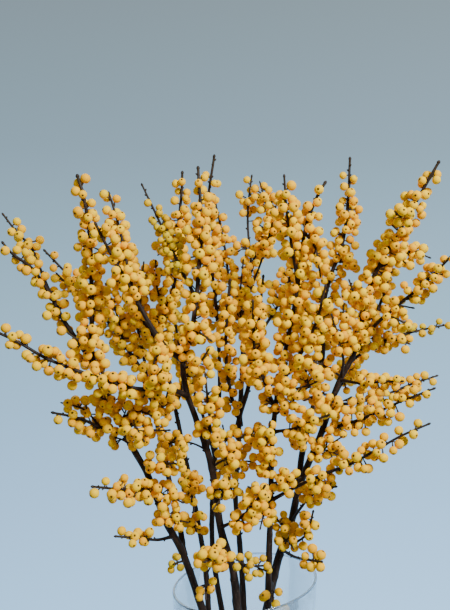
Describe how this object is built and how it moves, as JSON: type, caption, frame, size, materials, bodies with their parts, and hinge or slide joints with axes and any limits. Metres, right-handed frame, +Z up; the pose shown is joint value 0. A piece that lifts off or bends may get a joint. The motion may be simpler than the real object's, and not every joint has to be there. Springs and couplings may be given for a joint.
{
  "type": "bunch of winterberry holly branches in a glass vase",
  "caption": "Leafless cut winterberry holly branches, thickly set with amber berries, standing in a clear conical glass vase with a slanted rim.",
  "frame": {"origin": "centre of the vase's flat underside, on the surface that it stands on", "axes": "+Z up along the vase's axis; +X to the bunch's right as seen from its front; +Y to its back"},
  "size_m": [0.465, 0.2655, 0.7422],
  "materials": {
    "vase_glass": "clear smooth glass, thin wall, fire-polished rim",
    "bark": "dark brown to black smooth bark with a grey-brown sheen, small pale pores and knots",
    "berries": "satin amber-yellow fruit skin with a dark dot at the tip of each berry",
    "green_berries": "satin greenish-yellow skin of berries that are less ripe"
  },
  "bodies": {
    "root": {"berries_centre_back_back_arm_1": "berries", "berries_centre_back_back_arm_2": "berries", "berries_centre_back_back_left": "berries", "berries_centre_back_back_tip": "berries", "berries_centre_back_rear_arm": "berries", "berries_centre_back_right_arm": "berries", "berries_centre_back_stem": "berries", "berries_centre_behind": "green_berries", "berries_centre_front_arm": "berries", "berries_centre_left_arm": "berries", "berries_centre_left_fork": "berries", "berries_centre_low_front": "berries", "berries_centre_low_right": "berries", "berries_centre_right_knee": "berries", "berries_centre_stem_1": "berries", "berries_centre_stem_2": "berries", "berries_far_left_behind": "berries", "berries_far_left_front_arm": "berries", "berries_far_left_inner": "berries", "berries_far_left_low_arm": "berries", "berries_far_left_lowest_arm": "berries", "berries_far_left_outer_1": "berries", "berries_far_left_outer_2": "berries", "berries_far_left_outer_top": "berries", "berries_far_left_stem": "berries", "berries_inner_right_knee": "berries", "berries_inner_right_left_side": "berries", "berries_inner_right_low_arm": "berries", "berries_inner_right_right_side": "berries", "berries_inner_right_stem_1": "berries", "berries_inner_right_stem_2": "berries", "berries_inner_right_top_fork": "berries", "berries_left_side": "berries", "berries_left_stem": "berries", "berries_right_back_arm": "berries", "berries_right_high_arm": "berries", "berries_right_left_twig": "berries", "berries_right_low_twig": "berries", "berries_right_lower_twig": "berries", "berries_right_lowest_twig": "berries", "berries_right_middle_arm": "berries", "berries_right_rear_arm": "berries", "berries_right_rear_side": "berries", "berries_right_short_arm": "berries", "berries_right_stem": "berries", "berries_right_tall_fork": "berries", "berries_right_tall_side": "berries", "berries_right_thin_arm": "green_berries", "berries_tall_back_back_side": "berries", "berries_tall_back_stem": "berries", "branch_centre": "bark", "branch_centre_back": "bark", "branch_far_left": "bark", "branch_inner_right": "bark", "branch_left": "bark", "branch_right": "bark", "branch_tall_back": "bark", "vase": "vase_glass"}
  },
  "joints": []
}
